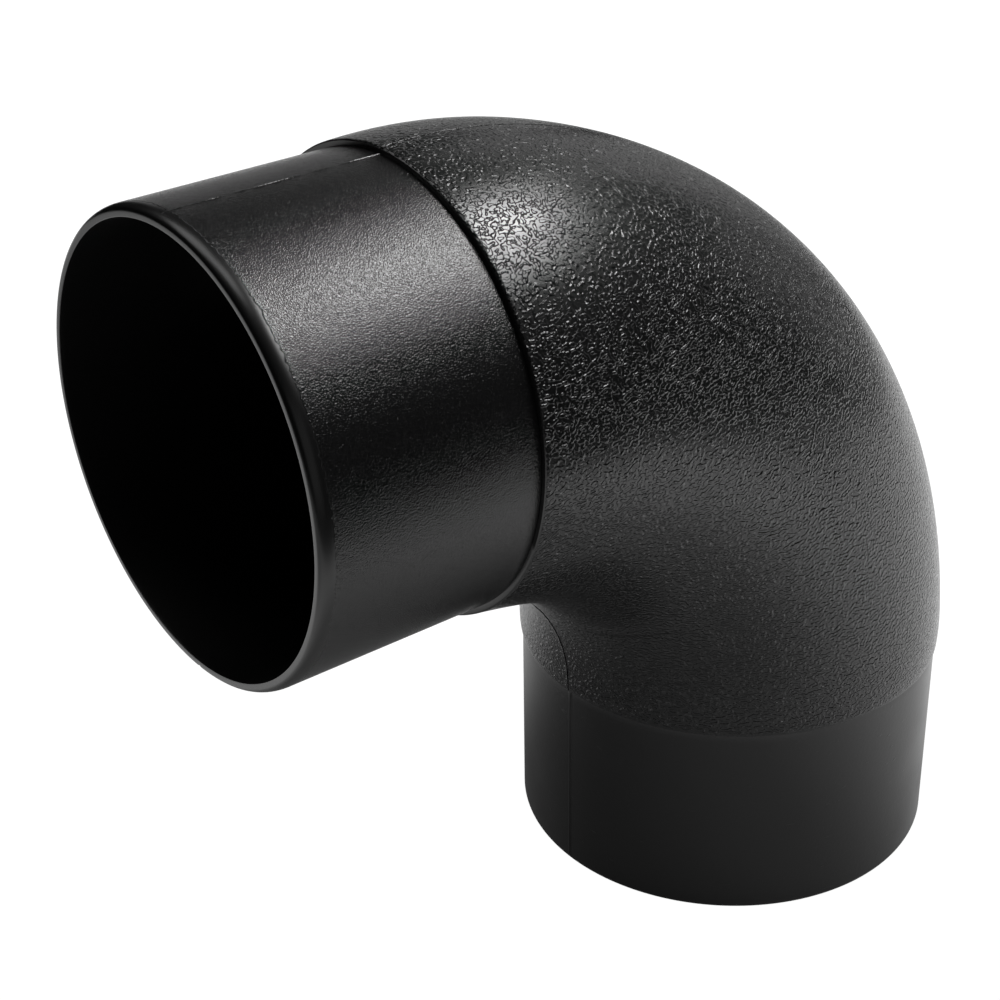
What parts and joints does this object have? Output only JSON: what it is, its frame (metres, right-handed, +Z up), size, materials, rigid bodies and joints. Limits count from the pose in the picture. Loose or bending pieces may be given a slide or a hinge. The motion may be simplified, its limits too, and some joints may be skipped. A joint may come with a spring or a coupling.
{
  "type": "reducing duct elbow",
  "caption": "Right-angle duct elbow: two grained half shells form the bend between a plain round inlet sleeve and a slightly larger round outlet sleeve.",
  "frame": {"origin": "middle of the elbow's overall box, on the plane that the outlet sleeve's rim stands on", "axes": "+Z up along the outlet's axis, away from its mouth; the inlet's mouth faces -X; the parting plane is y = 0"},
  "size_m": [0.1962, 0.1016, 0.1918],
  "materials": {
    "grained_shell": "black moulded plastic with a coarse leather grain",
    "fine_grained_sleeve": "black moulded plastic with a fine sand grain and a smooth lip",
    "satin_sleeve": "smooth black satin plastic"
  },
  "bodies": {
    "root": {"front_half_shell": "grained_shell", "back_half_shell": "grained_shell", "inlet_sleeve": "fine_grained_sleeve", "outlet_sleeve": "satin_sleeve"}
  },
  "joints": []
}
